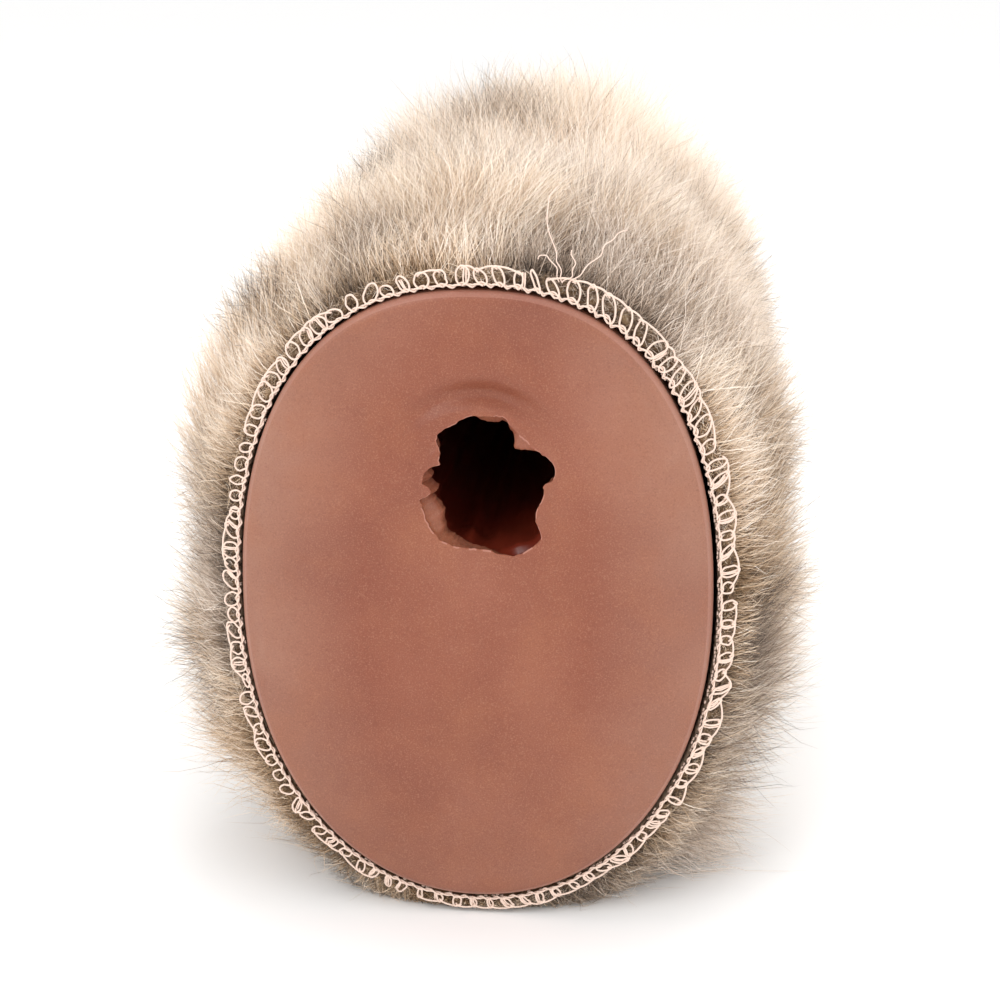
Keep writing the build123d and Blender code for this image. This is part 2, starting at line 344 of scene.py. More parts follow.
def build_core():
    """The moulded core as one closed skin: pocket, torn mouth, face, lip, flank and domed rear."""
    angles = np.linspace(-np.pi, np.pi, CORE_SPOKES, endpoint=False) + 0.002
    ray = np.stack([np.cos(angles), np.sin(angles)], -1)
    mouth = mouth_outline(angles)
    phi = oval_reach(angles)
    rings = pocket_rings(ray)
    rings += skin_rings(angles, ray, mouth, rings[-1][0])

    points = []
    relief = face_relief(MOUTH_X + mouth * ray[:, 0], MOUTH_Z + mouth * ray[:, 1])
    for radius, depth in rings:
        x, z = MOUTH_X + radius * ray[:, 0], MOUTH_Z + radius * ray[:, 1]
        points.append(np.stack([x, CORE_FRONT + depth + relief * max(0, 1 - depth / 8), z], -1))
    edge = hull_point(0.0, phi, 0.0)
    centre_z = CORE_UNDERSIDE + FACE_HEIGHT / 2
    points += face_rows(ray, mouth, edge[:, 0], edge[:, 2], centre_z)
    points += outer_rows(phi, edge[:, 0], edge[:, 2], centre_z)

    count = len(points)
    flat = np.array(points).reshape(-1, 3)
    poles = np.array([
        [MOUTH_X, CORE_FRONT + POCKET_DEPTH, MOUTH_Z],
        [0.0, DOME_START + DOME_LENGTH, section(DOME_START)[2]],
    ])
    quads = grid_quads(count, CORE_SPOKES)
    j = np.arange(CORE_SPOKES)
    n = (j + 1) % CORE_SPOKES
    first = np.stack([n, j, np.full_like(j, len(flat))], -1)
    last_row = (count - 1) * CORE_SPOKES
    last = np.stack([last_row + j, last_row + n, np.full_like(j, len(flat) + 1)], -1)

    row, spoke = quads[:, 0] // CORE_SPOKES, quads[:, 0] % CORE_SPOKES
    face_row = len(rings)
    lip_row = face_row + FACE_ROWS + 1
    # Painted highlight: a paler, broken band along the mouth's torn edge.
    torn = (noise_of(26, 4.0, 2)(ray * MOUTH_RADIUS) > -0.1)[spoke]
    # Painted shade: the pocket's deep rows and its blind end get a dark maroon.
    slots = np.where(row < POCKET_SHADE_ROWS, 1, 0)
    slots = np.where((row >= face_row - 2) & (row < face_row + 3) & torn, 2, slots)
    # Painted highlight: the lip's rows get the rubber mixed toward pale pink.
    slots = np.where((row >= lip_row) & (row < lip_row + 4), 3, slots)
    core = mesh_from(
        "core_body_moulding", np.vstack([flat, poles]), quads, np.vstack([first, last]),
        np.concatenate([slots, np.ones(CORE_SPOKES, int), np.zeros(CORE_SPOKES, int)]),
        [
            rubber_material("moulded_rubber", 0.0),
            plain("pocket_wall_painted_shade", linear(112, 40, 25), 0.32),
            plain("torn_edge_painted_highlight", linear(166, 110, 92), 0.4),
            rubber_material("moulded_rubber_lip_painted_highlight", 0.17),
        ],
    )
    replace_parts(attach(core, "core"), "core_body")
    return core


class Shader:
    """Short forms for a node tree."""

    def __init__(self, name):
        self.material = bpy.data.materials.new(name)
        self.material.use_nodes = True
        self.tree = self.material.node_tree

    def give(self, shader, inputs):
        """Link sockets of a node to other nodes' outputs, or set them to fixed values."""
        for key, value in inputs.items():
            if hasattr(value, "is_linked"):
                self.tree.links.new(value, shader.inputs[key])
            else:
                shader.inputs[key].default_value = value

    def node(self, kind, inputs, **settings):
        made = self.tree.nodes.new(kind)
        for key, value in settings.items():
            setattr(made, key, value)
        self.give(made, inputs)
        return made.outputs

    def place(self):
        return self.node("ShaderNodeTexCoord", {})["Object"]

    def noise(self, place, scale, detail, roughness):
        inputs = {"Scale": scale, "Detail": detail, "Roughness": roughness, "Vector": place}
        return self.node("ShaderNodeTexNoise", inputs)["Fac"]

    def ramp(self, source, *stops):
        made = self.tree.nodes.new("ShaderNodeValToRGB")
        elements = made.color_ramp.elements
        while len(elements) < len(stops):
            elements.new(0.5)
        for element, (place, colour) in zip(elements, stops):
            element.position = place
            element.color = colour if hasattr(colour, "__len__") else (colour, colour, colour, 1)
        self.give(made, {"Fac": source})
        return made.outputs["Color"]

    def mix(self, share, a, b):
        return self.node("ShaderNodeMix", {0: share, 6: a, 7: b}, data_type="RGBA")[2]

    def bump(self, inputs, strength, distance):
        """Shading normals from a height, with an earlier normal under it if there is one."""
        return self.node("ShaderNodeBump", {"Strength": strength, "Distance": distance, **inputs})["Normal"]

    def look(self, inputs):
        """The material, with its own shader's inputs given."""
        self.give(self.tree.nodes["Principled BSDF"], inputs)
        return self.material


def rubber_material(name, painted_highlight):
    """Soft moulded rubber: redder and darker in the middle of the face and paler to its sides, partly its own
    tone and partly painted shade and light; darker toward the bottom as painted shade; mixed toward pale pink
    as a painted highlight where asked; blotchy, with fine mica and a satin skin.
    """
    s = Shader(name)
    place = s.place()
    drop = -COLUMN_STRETCH * (CORE_UNDERSIDE / FACE_HEIGHT * 2 + 1)
    scale = (2 / (FACE_WIDTH * MM), 0.0, 2 * COLUMN_STRETCH / (FACE_HEIGHT * MM))
    inputs = {"Location": (0.0, 0.0, drop), "Scale": scale, "Vector": place}
    oval = s.node("ShaderNodeMapping", inputs)["Vector"]
    # The face's redder, darker middle and paler sides: partly the rubber's own tone, partly painted shade and
    # painted light.
    middle = s.node("ShaderNodeTexGradient", {"Vector": oval}, gradient_type="SPHERICAL")["Fac"]
    cloud = s.noise(place, 26, 4, 0.55)
    reds = linear(126, 69, 52), linear(136, 78, 58), linear(145, 88, 68)
    tans = linear(141, 94, 77), linear(150, 105, 87), linear(159, 115, 97)
    column = s.ramp(cloud, *zip(CLOUD_STOPS, reds))
    sides = s.ramp(cloud, *zip(CLOUD_STOPS, tans))
    base = s.mix(s.ramp(middle, (0.08, 0.0), (0.52, 1.0)), sides, column)
    # Painted shade: the rubber mixed darker toward the bottom, where less light reaches.
    height = s.node("ShaderNodeSeparateXYZ", {"Vector": place})["Z"]
    height = s.node("ShaderNodeMath", {0: height, 1: 1 / (FACE_HEIGHT * MM)}, operation="MULTIPLY")[0]
    base = s.mix(s.ramp(height, (0.08, 0.42), (0.42, 0.0)), base, linear(126, 84, 68))
    # Blotches, pale specks, dark specks: scale and detail of the noise, its ramp's stops, colour
    for scale, detail, low, high, colour in (
        (60, 3, (0.45, 0.0), (0.72, 0.4), linear(154, 96, 68)),
        (3000, 2, (0.50, 0.0), (0.72, 0.34), linear(182, 130, 104)),
        (2300, 2, (0.28, 0.30), (0.48, 0.0), linear(108, 60, 46)),
    ):
        base = s.mix(s.ramp(s.noise(place, scale, detail, 0.6), low, high), base, colour)
    # Painted highlight: the given share mixes the colour toward pale pink; the lip uses it.
    base = s.mix(painted_highlight, base, linear(196, 152, 140))
    fine, broad = s.noise(place, 900, 3, 0.6), s.noise(place, 130, 3, 0.5)
    under = s.bump({"Height": broad}, 0.25, 0.0012)
    return s.look({
        "Base Color": base,
        "Roughness": 0.42,
        "Specular IOR Level": 0.3,
        "Subsurface Weight": 0.15,
        "Subsurface Radius": (0.008, 0.003, 0.0018),
        "Subsurface Scale": 0.5,
        "Normal": s.bump({"Height": fine, "Normal": under}, 0.12, 0.0004),
    })


# ---------------------------------------------------------------- rim and seams

RIM_STITCHES = 102
THREAD_SIDES = 6

# Stretches of the rim: middle, in degrees round from the right-hand side, and half-width
RIGHT, UPPER_RIGHT, UPPER_LEFT, LEFT, BOTTOM = (350, 40), (55, 30), (120, 22), (175, 50), (270, 42)
BEADED = (350, 48)

# Ribs of the backing's inner side, half their height in mm, and where the side panel ends along the mitt
RIBS, POINTS_PER_RIB, RIB = 186, 4, 0.13
SIDE_END = (END_SEAM_Y - RIM_Y) / (DOME_START - RIM_Y)
SEAM_HALF_WIDTH = 1.6


class Rim:
    """Places round the sleeve's front edge, by length along it from the right-hand side, anticlockwise."""

    def __init__(self):
        phi = np.linspace(0, 2 * np.pi, 3601)
        line = hull_point(0.0, phi, 2.5)
        length = np.concatenate([[0], np.cumsum(np.linalg.norm(np.diff(line, axis=0), axis=1))])
        self.total = length[-1]
        self.length, self.phi = length, phi

    def place(self, s, out, back):
        """Points at length s, that far out from the core and that far behind the sleeve's edge."""
        turns = np.floor(s / self.total)
        phi = np.interp(s - turns * self.total, self.length, self.phi)
        line = hull_point(0.0, phi, 0.0)
        ahead, behind = hull_point(0.0, phi + 0.01, 0.0), hull_point(0.0, phi - 0.01, 0.0)
        along = unit(ahead - behind)
        outward = np.stack([along[..., 2], np.zeros_like(phi), -along[..., 0]], -1)
        point = line + outward * np.asarray(out)[..., None]
        point[..., 1] += back
        point[..., 2] = np.maximum(point[..., 2], 0.35)
        return point

    def share(self, s, degrees, width):
        """A bell round the rim, centred at degrees from the right-hand side."""
        away = (s / self.total * 360 - degrees + 180) % 360 - 180
        return np.exp(-((away / width) ** 2))


def twisted_frames(line):
    """Across and up directions carried along a line without twisting."""
    tangent = unit(np.gradient(line, axis=0))
    across = np.empty_like(line)
    first = np.cross(tangent[0], [0.31, 0.52, 0.79])
    across[0] = first / np.linalg.norm(first)
    for i in range(1, len(line)):
        a = across[i - 1] - tangent[i] * (across[i - 1] @ tangent[i])
        across[i] = a / np.linalg.norm(a)
    return across, np.cross(tangent, across)


def thread_mesh(name, lines, radius, material, node):
    """A sewing thread of the sleeve along one or more lines, with closed ends."""
    points, quads, tris, used = [], [], [], 0
    turn = 2 * np.pi * np.arange(THREAD_SIDES) / THREAD_SIDES
    for line in lines:
        across, up = twisted_frames(line)
        swell = radius * (1 + 0.07 * np.sin(np.arange(len(line)) * 1.9))
        spokes = np.cos(turn)[None, :, None] * across[:, None] + np.sin(turn)[None, :, None] * up[:, None]
        points.append((line[:, None] + swell[:, None, None] * spokes).reshape(-1, 3))
        quads.append(grid_quads(len(line), THREAD_SIDES, offset=used))
        last = used + (len(line) - 1) * THREAD_SIDES
        corners = range(1, THREAD_SIDES - 1)
        tris += [[used, used + k + 1, used + k] for k in corners]
        tris += [[last, last + k, last + k + 1] for k in corners]
        used += len(line) * THREAD_SIDES
    made = mesh_from(name, np.vstack(points), np.vstack(quads), np.array(tris), materials=[material])
    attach(made, "sleeve")
    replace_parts(made, node)
    return made


def smooth_line(points, per):
    """A rounded path through points, by Catmull-Rom."""
    p = np.vstack([2 * points[0] - points[1], points, 2 * points[-1] - points[-2]])
    t = np.linspace(0, 1, per, endpoint=False)[:, None]
    parts = []
    for i in range(1, len(p) - 2):
        a, b, c, d = p[i - 1], p[i], p[i + 1], p[i + 2]
        bend, twist = 2 * a - 5 * b + 4 * c - d, 3 * b - 3 * c + d - a
        parts.append(0.5 * (2 * b + (c - a) * t + bend * t**2 + twist * t**3))
    return np.vstack([*parts, points[-1:]])


def rim_line(rim, rows, per):
    """A smooth path through points of the rim given as (length along, out, back)."""
    rows = smooth_line(np.array(rows), per)
    return rim.place(rows[:, 0], rows[:, 1], rows[:, 2])


def stitch_sizes(rng, rim):
    """Where each overlock stitch lies along the rim and how big it is, in mm: no two are alike."""
    pitch = rim.total / RIM_STITCHES
    start = np.arange(RIM_STITCHES) * pitch + rng.normal(0, 0.42, RIM_STITCHES)
    regions = (UPPER_RIGHT, UPPER_LEFT, BOTTOM, LEFT, RIGHT)
    upper_right, upper_left, bottom, left, right = (rim.share(start, *region) for region in regions)
    near = np.maximum(0.78 + 0.95 * right + rng.normal(0, 0.09, RIM_STITCHES), 0.72)
    tall = 2.9 + 2.3 * upper_right + 0.7 * upper_left + 0.4 * left + 0.5 * right - 0.2 * bottom
    tall = np.clip(tall + rng.normal(0, 0.55, RIM_STITCHES) * (1 - 0.5 * bottom), 1.7, 6.0)
    wide = 2.5 + 0.9 * left + 0.5 * upper_left - 0.3 * right - 1.0 * bottom
    wide = np.clip(wide + rng.normal(0, 0.5, RIM_STITCHES), 1.1, 4.0)
    return SimpleNamespace(
        start=start,
        step=np.append(start[1:], start[0] + rim.total) - start,
        near=near,
        tall=tall,
        wide=wide,
        slant=2.0 * upper_right + 1.3 * right - 0.4 * left + rng.normal(0, 0.8, RIM_STITCHES),
        deep=1.0 + 0.7 * upper_right + 0.3 * upper_left,
        lift=0.35 + 0.95 * upper_right + 0.25 * left,
        bar_chance=0.30 + 0.55 * bottom + 0.4 * right,
        top_chance=0.30 + 0.7 * bottom + 0.5 * right + 0.7 * upper_right,
    )


def ring_rows(rng, size, i):
    """An upper looper's ring, open where it passes under the cord."""
    rows = []
    for turn in np.radians(np.arange(-90, 300, 30)):
        rise = (1 + math.sin(turn)) / 2
        along = size.start[i] + size.step[i] * 0.5 + size.wide[i] / 2 * math.cos(turn)
        rows.append((
            along + size.slant[i] * (rise - 0.3) + rng.normal(0, 0.07),
            size.near[i] + 0.15 + size.tall[i] * rise + rng.normal(0, 0.07),
            -1.0 + 0.6 * size.deep[i] * rise**2 + 0.2 * math.cos(turn) + 0.12 * (turn > 3),
        ))
    return rows


def cord_rows(size, i, strand):
    """One strand of the twisted cord at the core, over one stitch, bowed outward between stitches."""
    after = (i + 1) % RIM_STITCHES
    rows = []
    for u in np.arange(8) / 8:
        base = size.near[i] * (1 - u) + size.near[after] * u
        turn = 2 * math.pi * (u + i) + math.pi * strand
        rows.append((
            size.start[i] + u * size.step[i],
            base + size.lift[i] * math.sin(math.pi * u) + 0.25 * math.cos(turn),
            -0.75 + 0.25 * math.sin(turn),
        ))
    return rows


def bar_rows(rng, size, i):
    """A doubled thread of the needle, lying straight across the rim."""
    top = size.tall[i] * rng.uniform(0.75, 1.05)
    shift = rng.uniform(0.8, 1.6)
    pair = []
    for beside in (0.0, 0.5):
        foot = size.start[i] + shift + beside
        pair.append([
            (foot, size.near[i] + 0.1, -0.5),
            (foot + 0.3 * size.slant[i] + rng.normal(0, 0.1), size.near[i] + 0.5 * top, -1.1),
            (foot + 0.8 * size.slant[i], size.near[i] + top, -1.0 + 0.5 * size.deep[i]),
        ])
    return pair


def top_rows(size, i):
    """The looper's run along the rim's outer edge, from one ring's top to the next."""
    after = (i + 1) % RIM_STITCHES
    high, high_after = size.near[i] + size.tall[i] + 0.1, size.near[after] + size.tall[after] + 0.1
    start = size.start[i] + 0.5 * size.step[i] + 0.7 * size.slant[i]
    end = size.start[i] + 1.5 * size.step[i] + 0.7 * size.slant[after]
    back = -0.95 + 0.5 * size.deep[i]
    return [
        (start - 0.4, high - 0.7, back + 0.1),
        (start + 0.5, high - 0.1, back - 0.1),
        ((start + end) / 2, (high + high_after) / 2 + 0.15, back),
        (end - 0.3, high_after - 0.1, back - 0.1),
        (end + 0.4, high_after - 0.7, back + 0.1),
    ]


def bead_lines(rng, rim):
    """Short bits of the lower looper that show as beads in the gap beside the core."""
    beads = []
    for s in np.arange(0, rim.total, 1.0):
        at_right = float(rim.share(s, *BEADED))
        if rng.random() < 0.15 + 0.75 * at_right:
            span = np.linspace(-0.34, 0.34, 4)
            out = 0.7 + 0.45 * at_right + rng.normal(0, 0.14)
            back = 0.3 - 0.2 * np.cos(span * 3.4)
            beads.append(rim.place(s + span, np.full(4, out) + 0.12 * np.cos(span * 3), back))
    return beads


def build_rim():
    """Overlock stitches round the sleeve's front edge: a twisted cord, rings off it, bars and a top line."""
    rng = np.random.default_rng(31)
    rim = Rim()
    sizes = stitch_sizes(rng, rim)
    rings, tops, bars, strands = [], [], [], ([], [])
    for i in range(RIM_STITCHES):
        rings.append(rim_line(rim, ring_rows(rng, sizes, i), 2))
        for strand, rows in enumerate(strands):
            rows += cord_rows(sizes, i, strand)
        if rng.random() < sizes.bar_chance[i]:
            bars += [rim_line(rim, rows, 4) for rows in bar_rows(rng, sizes, i)]
        if rng.random() < sizes.top_chance[i]:
            tops.append(rim_line(rim, top_rows(sizes, i), 4))
    cords = []
    for rows in strands:
        along, out, back = rows[0]
        cords.append(rim_line(rim, [*rows, (along + rim.total, out, back)], 2))

    material = plain("sewing_thread", linear(232, 207, 191), 0.6)
    loops = [*rings, *tops]
    thread_mesh("rim_upper_looper_stitches", loops, 0.24, material, "rim_upper_looper_thread")
    beads = bead_lines(rng, rim)
    thread_mesh("rim_lower_looper_stitches", [*cords, *beads], 0.23, material, "rim_lower_looper_thread")
    thread_mesh("rim_needle_stitches", bars, 0.2, material, "rim_needle_thread")
    return rim, material


def knit_material():
    """Plain knitted backing cloth, flecked and a little uneven."""
    s = Shader("backing_knit")
    place = s.place()
    tone = s.ramp(s.noise(place, 45, 4, 0.6), (0.3, linear(132, 112, 94)), (0.7, linear(168, 147, 126)))
    fleck = s.ramp(s.noise(place, 900, 2, 0.6), (0.4, 0.0), (0.75, 0.55))
    return s.look({
        "Base Color": s.mix(fleck, tone, linear(104, 86, 70)),
        "Roughness": 0.9,
        "Normal": s.bump({"Height": s.noise(place, 1100, 2, 0.6)}, 0.5, 0.0005),
    })


def build_side_backing(phi, rib, material):
    """The side panel's backing: a ribbed inner skin, a smooth outer skin, joined at both ends."""
    vs = np.linspace(0.006, SIDE_END - 0.002, 56)
    inner = [hull_point(v, phi, GAP + RIB + rib) for v in vs]
    outer = [hull_point(v, phi, OUTSIDE) for v in vs[::-1]]
    rows = np.array(inner + outer)
    columns = len(phi)
    closing = grid_quads(2, columns)
    last_row = (len(rows) - 1) * columns
    closing = np.where(closing >= columns, closing - columns, closing + last_row)
    quads = np.vstack([grid_quads(len(rows), columns), closing])[:, ::-1]
    side = mesh_from("side_panel_backing_knit", rows.reshape(-1, 3), quads, materials=[material])
    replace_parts(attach(side, "sleeve"), "side_panel_backing")
    return side


def build_end_backing(phi, rib, material):
    """The end panel's backing: the same two skins, closed at the dome's pole."""
    vs = np.concatenate([np.linspace(SIDE_END + 0.002, 1, 3), 1 + np.linspace(0.04, 0.985, 24)])
    fade = np.clip((2 - vs) * 2, 0, 1)
    inner = np.array([hull_point(v, phi, GAP + RIB + rib * f) for v, f in zip(vs, fade)])
    outer = np.array([hull_point(v, phi, OUTSIDE) for v in vs[::-1]])
    middle, end_y = section(DOME_START)[2], DOME_START + DOME_LENGTH
    poles = [[0, end_y + GAP + RIB, middle], [0, end_y + OUTSIDE, middle]]
    points = np.vstack([inner.reshape(-1, 3), outer.reshape(-1, 3), poles])
    n, columns = len(vs), len(phi)
    j = np.arange(columns)
    k = (j + 1) % columns
    last_row = (2 * n - 1) * columns
    edge = np.stack([last_row + j, last_row + k, k, j], -1)
    quads = np.vstack([grid_quads(n, columns), grid_quads(n, columns, offset=n * columns), edge])[:, ::-1]
    inner_row, outer_row = (n - 1) * columns, n * columns
    tris = np.vstack([
        np.stack([inner_row + j, np.full(columns, len(points) - 2), inner_row + k], -1),
        np.stack([outer_row + k, np.full(columns, len(points) - 1), outer_row + j], -1),
    ])
    end = mesh_from("end_panel_backing_knit", points, quads, tris, materials=[material])
    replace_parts(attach(end, "sleeve"), "end_panel_backing")
    return end


def build_backings():
    """Knitted backings of the two panels, ribbed along their length on the inner side."""
    material = knit_material()
    phi = np.linspace(0, 2 * np.pi, RIBS * POINTS_PER_RIB, endpoint=False)
    rib = RIB * np.cos(phi * RIBS)
    return build_side_backing(phi, rib, material), build_end_backing(phi, rib, material)


def build_edge_roll(rim):
    """The sleeve's cut edge inside the stitches: pile pressed down and bound, in a thick lumpy roll."""
    s = Shader("bound_pile_edge")
    place = s.place()
    # Tones of the roll: the pile's own colours, with its darkest tones painted shade between the pressed
    # fibres.
    tones = (48, 33, 24), (96, 72, 50), (140, 114, 84), (186, 162, 130)
    stops = zip((0.3, 0.48, 0.62, 0.8), (linear(*tone) for tone in tones))
    material = s.look({
        "Base Color": s.ramp(s.noise(place, 420, 4, 0.65), *stops),
        "Roughness": 0.85,
        "Normal": s.bump({"Height": s.noise(place, 1300, 3, 0.6)}, 0.7, 0.0006),
    })

    count = 900
    at = np.arange(count) / count * rim.total
    right, bottom, upper = (rim.share(at, *region) for region in (RIGHT, BOTTOM, UPPER_RIGHT))
    near = 1.05 + 0.75 * right - 0.15 * bottom
    wide = 3.1 + 1.3 * upper - 0.6 * bottom
    deep = 1.5 + 0.6 * upper
    # The roll's section: share of its width outward, mm behind the rim
    profile = [
        (0.0, 4.5), (0.0, 2.2), (0.03, 1.1), (0.14, 0.5), (0.32, 0.2), (0.55, 0.3), (0.76, 0.6),
        (0.92, 1.1), (1.0, 1.8), (1.0, 2.6), (0.9, 3.6), (0.6, 5.0),
    ]
    lump = noise_of(41, 3.2)
    rows = []
    for across, back in profile:
        out = near + wide * across
        behind = back * (0.55 + 0.3 * deep)
        point = rim.place(at, out, behind)
        bumps = lump(point) * 0.28
        rows.append(rim.place(at, out + bumps * (across > 0.05), behind + bumps * 0.8))
    points, quads = np.array(rows).reshape(-1, 3), grid_quads(len(rows), count)
    roll = mesh_from("side_panel_pile_bound_edge", points, quads, materials=[material])
    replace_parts(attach(roll, "sleeve"), "side_panel_pile")


def seam_zigzag(along, turns):
    """Zigzag stitches over a seam; along gives the point at a share of its length and a shift sideways."""
    corners = np.arange(turns * 2 + 1)
    fine = np.linspace(0, turns * 2, turns * 2 * 3 + 1)
    share = np.interp(fine, corners, np.linspace(0, 1, len(corners)))
    shift = np.interp(fine, corners, np.where(corners % 2 == 0, -SEAM_HALF_WIDTH, SEAM_HALF_WIDTH))
    return along(share, shift)


def build_seams(material):
    """Zigzag stitches of the side seam and the end seam, on the outer and the inner side of the backing."""
    seam = math.radians(SEAM_ANGLE)

    def lengthwise(grow):
        return lambda t, shift: hull_point(0.03 + (SIDE_END - 0.04) * t, seam + shift / 72, grow)

    def around(grow):
        return lambda t, shift: hull_point(SIDE_END + shift / (DOME_START - RIM_Y) * 0.5, t * 2 * np.pi, grow)

    for name, maker, turns in (("side_seam", lengthwise, 44), ("end_seam", around, 92)):
        outer = seam_zigzag(maker(OUTSIDE + 0.2), turns)
        thread_mesh(f"{name}_outer_stitches", [outer], 0.2, material, f"{name}_needle_thread")
        inner = seam_zigzag(maker(GAP - 0.22), turns)
        thread_mesh(f"{name}_inner_stitches", [inner], 0.18, material, f"{name}_looper_thread")


def build_tails(rim, material):
    """Loose thread ends of the side seam, lying up over the pile above the rim."""
    seam_s = float(np.interp(math.radians(SEAM_ANGLE), rim.phi, rim.length))
    # Each end's path: along the rim from the seam, out from the core, back from the rim
    ways = [
        [(0.3, 4.4, 0.6), (1.8, 7.5, 0.8), (3.5, 10.6, 1.5), (6.6, 18.3, 4.6), (5.7, 23.6, 9.0)],
        [(-0.8, 4.4, 0.4), (-2.6, 8.0, 0.8), (-4.4, 13.0, 1.8), (-5.1, 16.7, 3.6), (-6.8, 19.9, 6.2)],
        [(1.0, 4.4, 0.5), (2.8, 7.6, 0.8), (5.2, 9.2, 1.4), (6.6, 8.0, 1.6)],
        [(0.4, 4.5, 0.3), (-1.0, 6.8, 0.4), (-0.6, 9.6, 1.0), (0.8, 11.8, 1.8)],
    ]
    lines = []
    for way in ways:
        rows = smooth_line(np.array(way, float), 7)
        wave = 0.25 * np.sin(np.arange(len(rows)) * 0.8)
        lines.append(rim.place(seam_s + rows[:, 0] + wave, rows[:, 1], rows[:, 2] - 1.0))
    thread_mesh("side_seam_thread_ends", lines, 0.14, material, "side_seam_thread_tails")


# ---------------------------------------------------------------- pile

# Six tones of each hue, dark to pale, as 0-255 screen values
TONES = {
    "beige": [
        (90, 71, 54), (127, 105, 84), (164, 141, 117), (198, 175, 151), (226, 206, 184), (246, 232, 215),
    ],
    "grey": [
        (64, 53, 46), (104, 89, 77), (146, 127, 111), (183, 163, 145), (214, 196, 180), (239, 225, 212),
    ],
    "cream": [
        (106, 80, 54), (148, 119, 88), (188, 159, 129), (218, 193, 166), (240, 219, 196), (252, 239, 225),
    ],
}
BEIGE, GREY, CREAM = range(3)
LEVELS = 6

# Darker patches of the pile: degrees round the rim, mm behind it, size, strength
DARK_PATCHES = [
    (SEAM_ANGLE, 6, 8, 0.20), (126, 12, 6, 0.16), (168, 7, 6, 0.18), (205, 6, 9, 0.10), (232, 8, 12, 0.24),
    (310, 8, 10, 0.14), (122, 128, 9, 0.30), (97, 165, 9, 0.25), (30, 132, 8, 0.30), (4, 12, 14, 0.16),
]

# Panel: pile node, where it starts and ends along the mitt, guard hairs, downs
PANELS = (
    ("side_panel_pile", 2.6 / (DOME_START - RIM_Y), SIDE_END, 205000, 75000),
    ("end_panel_pile", SIDE_END, 1.985, 55000, 22000),
)
# Fibre: points along it, full length, half-width, size of its curls, change of lightness
FIBRES = {"guard": (7, 33.0, 0.088, 1.2, 0.0), "down": (6, 20.0, 0.08, 1.6, -0.10)}
FIBRES_PER_LOCK = 22
EDGE_FIBRES = 12000
LARGEST_PIECE = 196000  # triangles; the export thins a bigger piece
FLOOR_CLEARANCE = 0.35

lay_side, lay_back, lay_lock = noise_of(51, 38), noise_of(52, 30), noise_of(57, 12)
tone_broad, tone_fine = noise_of(53, 58), noise_of(54, 18)
hue_broad, tip_broad = noise_of(55, 60), noise_of(56, 34)


def scatter(rng, count, v_low, v_high):
    """Random (v, phi) spread evenly over the mitt's surface, but thinly along its underside."""
    v = np.linspace(v_low, v_high, 301)
    phi = np.linspace(0, 2 * np.pi, 721)
    vv, pp = np.meshgrid((v[1:] + v[:-1]) / 2, (phi[1:] + phi[:-1]) / 2, indexing="ij")
    dv, dp = v[1] - v[0], phi[1] - phi[0]
    along = hull_point(vv + dv / 2, pp, OUTSIDE) - hull_point(vv - dv / 2, pp, OUTSIDE)
    around = hull_point(vv, pp + dp / 2, OUTSIDE) - hull_point(vv, pp - dp / 2, OUTSIDE)
    area = np.linalg.norm(np.cross(along, around), axis=-1)
    area = area * np.where(np.sin(pp) < -0.93, 0.4, 1.0)
    pick = rng.choice(area.size, count, p=(area / area.sum()).ravel())
    return (
        vv.ravel()[pick] + rng.uniform(-0.5, 0.5, count) * dv,
        pp.ravel()[pick] + rng.uniform(-0.5, 0.5, count) * dp,
    )


def pile_reach(root, phi):
    """Share of its full length that the pile has: short at the rim, longest at the upper rear."""
    back = root[:, 1] - RIM_Y
    upper = smooth(np.sin(phi), 0.0, 0.8)
    front = 0.40 + 0.60 * smooth(back, 0, 22)
    waist = 1 - 0.17 * smooth(back, 45, 80) * (1 - smooth(back, 100, 140))
    lopsided = 1 - 0.35 * smooth(-np.cos(phi), 0.1, 0.6) + 0.24 * smooth(np.cos(phi), 0.1, 0.6)
    rear = 1 + (0.02 + 0.22 * upper * lopsided) * smooth(back, 105, 155)
    low = 1 + 0.17 * bump(phi, -38, 22) + 0.10 * bump(phi, -140, 22)
    right = 1 - 0.12 * smooth(np.cos(phi), 0.5, 0.95)
    return front * waist * rear * low * right


